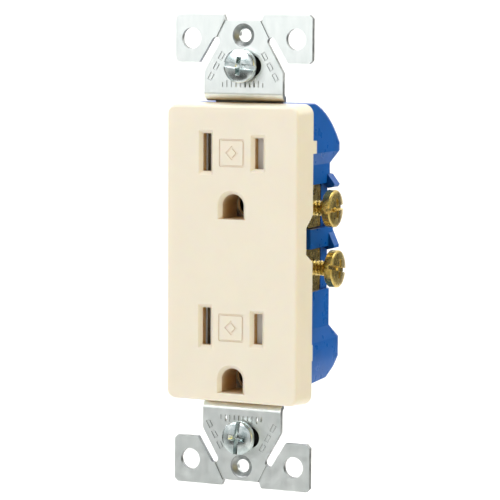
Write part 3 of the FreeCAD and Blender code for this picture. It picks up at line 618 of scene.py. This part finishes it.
def make_stage():
    """A pale floor below the outlet that sweeps up into a backdrop."""
    floor_z = cad_bounds[0][2] - FLOOR_DROP
    sweep_y = BACKDROP_Y - SWEEP_RADIUS
    profile = [(-FLOOR_REACH, floor_z), (sweep_y, floor_z)]
    for step in range(1, SWEEP_STEPS + 1):
        angle = math.radians(90) * step / SWEEP_STEPS
        rise = SWEEP_RADIUS * (1 - math.cos(angle))
        profile.append((sweep_y + SWEEP_RADIUS * math.sin(angle), floor_z + rise))
    profile.append((BACKDROP_Y, BACKDROP_TOP))
    bm = bmesh.new()
    left = [bm.verts.new((-FLOOR_REACH, y, z)) for y, z in profile]
    right = [bm.verts.new((FLOOR_REACH, y, z)) for y, z in profile]
    for k in range(len(profile) - 1):
        bm.faces.new((left[k], right[k], right[k + 1], left[k + 1]))
    sweep = mesh_from("studio_sweep", bm)
    for face in sweep.data.polygons:
        face.use_smooth = True
    paper = Surface("pale_paper", (0.90, 0.90, 0.90), 0.9)
    paper.bump(paper.noise(0.4, 2), 0.01 * MM)
    sweep.data.materials.append(paper.material)
    sweep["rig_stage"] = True


OUTLET = (0, 0, 0)
WHITE = (1, 1, 1)
WARM_FILL = (1.0, 0.78, 0.26)


def add_softbox(name, place, target, size, power, colour=WHITE):
    """A rectangular light that faces a target, with its size in metres and its power in watts."""
    light = bpy.data.lights.new(name, "AREA")
    light.shape = "RECTANGLE"
    light.size, light.size_y = size
    light.energy = power
    light.color = colour
    lamp = add_object(name, light)
    lamp.location = place
    lamp.rotation_euler = (Vector(target) - Vector(place)).to_track_quat("-Z", "Y").to_euler()


def make_lights():
    """Three lights on the outlet and two on the paper behind it."""
    add_softbox("key_softbox", (-0.45, -0.95, 0.60), OUTLET, (0.7, 0.7), 4.7)
    add_softbox("fill_softbox", (0.95, -0.35, 0.15), OUTLET, (0.35, 0.9), 0.75, WARM_FILL)
    add_softbox("top_softbox", (0.1, 0.05, 0.8), OUTLET, (0.6, 0.6), 2.6)
    add_softbox("backdrop_left", (-0.9, 0.3, 0.5), (-0.2, 0.9, 0.1), (0.6, 0.6), 5.0)
    add_softbox("backdrop_right", (0.75, 0.55, 0.6), (-0.1, 0.9, 0.0), (0.4, 0.4), 2.0)


AIR_STRENGTH = 0.68
BAND_FREQUENCY = 7.0
BAND_SHIFT = -0.56
BAND_COLOUR = (0.16, 0.17, 0.18)
BAND_END = 0.45
WARM_RANGE = (0.3, 0.9)
WARM_AIR = (1.0, 0.78, 0.30)


def band_colour(tree, height):
    """Dark bands in the surroundings, by a cosine of the height, for bare metal to mirror."""
    stretched = tree.nodes.new("ShaderNodeMath")
    stretched.operation = "MULTIPLY_ADD"
    stretched.inputs[1].default_value = BAND_FREQUENCY
    stretched.inputs[2].default_value = BAND_SHIFT
    tree.links.new(height, stretched.inputs[0])
    waves = tree.nodes.new("ShaderNodeMath")
    waves.operation = "COSINE"
    tree.links.new(stretched.outputs["Value"], waves.inputs[0])
    ramp = tree.nodes.new("ShaderNodeValToRGB")
    for end, place, tone in zip(ramp.color_ramp.elements, (0.0, BAND_END), (BAND_COLOUR, WHITE)):
        end.position = place
        end.color = (*tone, 1)
    tree.links.new(waves.outputs["Value"], ramp.inputs["Fac"])
    return ramp.outputs["Color"]


def warmed(tree, colour, rightness):
    """A colour of the surroundings that turns warm towards the right."""
    amount = tree.nodes.new("ShaderNodeMapRange")
    amount.inputs["From Min"].default_value = WARM_RANGE[0]
    amount.inputs["From Max"].default_value = WARM_RANGE[1]
    tree.links.new(rightness, amount.inputs["Value"])
    warmth = tree.nodes.new("ShaderNodeMixRGB")
    warmth.blend_type = "MULTIPLY"
    warmth.inputs["Color2"].default_value = (*WARM_AIR, 1)
    tree.links.new(amount.outputs["Result"], warmth.inputs["Fac"])
    tree.links.new(colour, warmth.inputs["Color1"])
    return warmth.outputs["Color"]


def make_studio_air():
    """Soft surroundings with dark bands and a warm right side."""
    world = bpy.data.worlds.new("studio_air")
    world.use_nodes = True
    tree = world.node_tree
    background = tree.nodes["Background"]
    background.inputs["Strength"].default_value = AIR_STRENGTH
    split = tree.nodes.new("ShaderNodeSeparateXYZ")
    tree.links.new(tree.nodes.new("ShaderNodeTexCoord").outputs["Generated"], split.inputs["Vector"])
    bands = band_colour(tree, split.outputs["Z"])
    tree.links.new(warmed(tree, bands, split.outputs["X"]), background.inputs["Color"])
    bpy.context.scene.world = world


def add_flag(name, place, width, height):
    """Dark card that faces the outlet, out of the camera's sight, to be mirrored in its metal."""
    bm = bmesh.new()
    across = Vector((-place[1], place[0], 0)).normalized() * width / 2
    rise = Vector((0, 0, height / 2))
    centre = Vector(place)
    bottom = centre - rise
    top = centre + rise
    corners = (bottom - across, bottom + across, top + across, top - across)
    bm.faces.new([bm.verts.new(corner) for corner in corners])
    card = mesh_from(name, bm)
    card.data.materials.append(Surface("flag_cloth", (0.06, 0.06, 0.06), 0.9).material)
    card.visible_camera = False
    card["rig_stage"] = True


def make_flags():
    """One card behind the outlet and three in front of it."""
    add_flag("flag_behind", (0.25, 0.40, -0.035), 0.38, 0.19)
    add_flag("flag_left", (-0.80, -0.42, 0.0), 0.22, 0.8)
    add_flag("flag_low", (-0.35, -0.75, -0.22), 0.5, 0.22)
    add_flag("flag_front", (0.20, -0.85, 0.0), 0.16, 0.5)


CAMERA_YAW = math.radians(25.07)
CAMERA_PITCH = math.radians(5.58)
CAMERA_ROLL = math.radians(0.31)
CAMERA_DISTANCE = 595 * MM
CAMERA_SIDE = 1.72 * MM
CAMERA_LIFT = 0.58 * MM
CAMERA_LENS = 191.7


def make_camera():
    """Camera at the front right, a little above the outlet, looking at the middle of the strap."""
    reach = math.cos(CAMERA_PITCH)
    back = Vector((math.sin(CAMERA_YAW) * reach, -math.cos(CAMERA_YAW) * reach, math.sin(CAMERA_PITCH)))
    level = Vector((math.cos(CAMERA_YAW), math.sin(CAMERA_YAW), 0))
    rise = back.cross(level)
    right = level * math.cos(CAMERA_ROLL) + rise * math.sin(CAMERA_ROLL)
    up = back.cross(right)
    camera = bpy.data.cameras.new("camera")
    camera.lens = CAMERA_LENS
    camera.clip_start = 0.01
    holder = add_object("camera", camera)
    place = back * CAMERA_DISTANCE + right * CAMERA_SIDE + up * CAMERA_LIFT
    turn = Matrix((right, up, back)).transposed().to_4x4()
    holder.matrix_world = Matrix.Translation(place) @ turn
    bpy.context.scene.camera = holder


def set_colour_response():
    """Plain colours, exposed so that the backdrop turns white to the camera."""
    view = bpy.context.scene.view_settings
    view.view_transform = "Standard"
    view.look = "None"
    view.exposure = 0.46


make_camera()
make_stage()
make_lights()
make_studio_air()
make_flags()
set_colour_response()
make_screws()
make_springs()
make_other_nodes()
